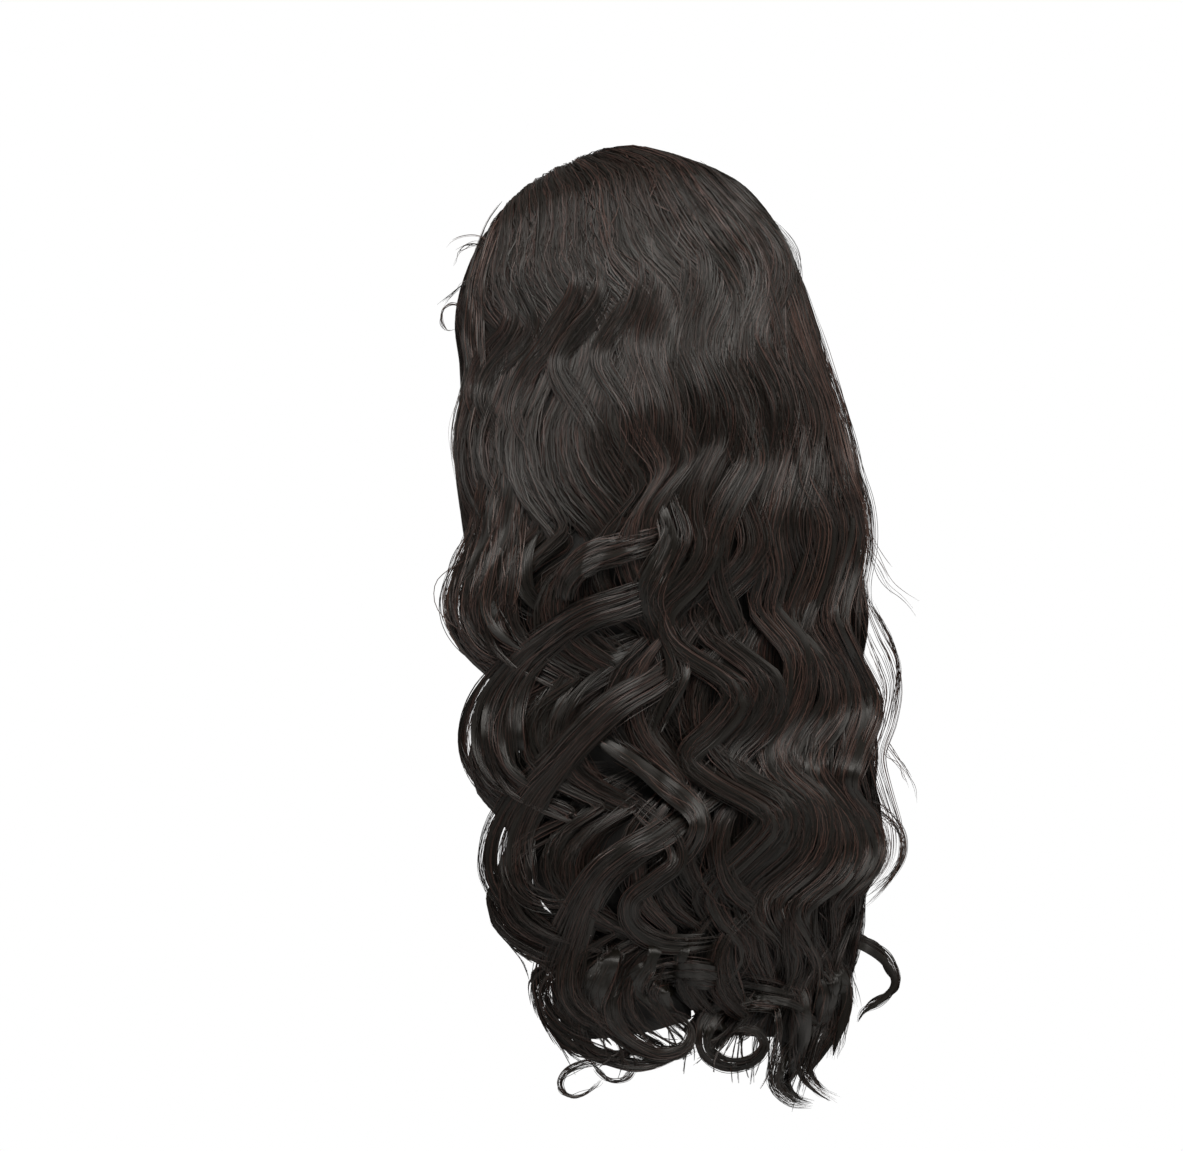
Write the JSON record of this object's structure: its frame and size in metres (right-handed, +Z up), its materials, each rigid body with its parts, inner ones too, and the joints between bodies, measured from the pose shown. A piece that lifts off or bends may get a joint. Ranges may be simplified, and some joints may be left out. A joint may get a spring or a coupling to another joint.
{
  "type": "lace front wig",
  "caption": "Long dark body-wave wig on an open lace cap, worn over the head with the hair parted and hanging behind the shoulders.",
  "frame": {"origin": "inside top of the cap, where the crown of the head sits", "axes": "+Z up, -Y the side of the face, +X the wearer's left"},
  "size_m": [0.2593, 0.2101, 0.5154],
  "materials": {
    "hair": "satin, off-black hair",
    "lace": "sheer brown lace net",
    "cap_net": "matte stretch net",
    "elastic": "matte woven elastic"
  },
  "bodies": {
    "root": {"lace_front": "lace", "cap_crown": "cap_net", "nape_band": "elastic", "ear_tab_left": "elastic", "ear_tab_right": "elastic", "hair_side_left": "hair", "hair_side_right": "hair", "hair_back_left": "hair", "hair_back_middle": "hair", "hair_back_right": "hair", "hair_nape": "hair"}
  },
  "joints": []
}
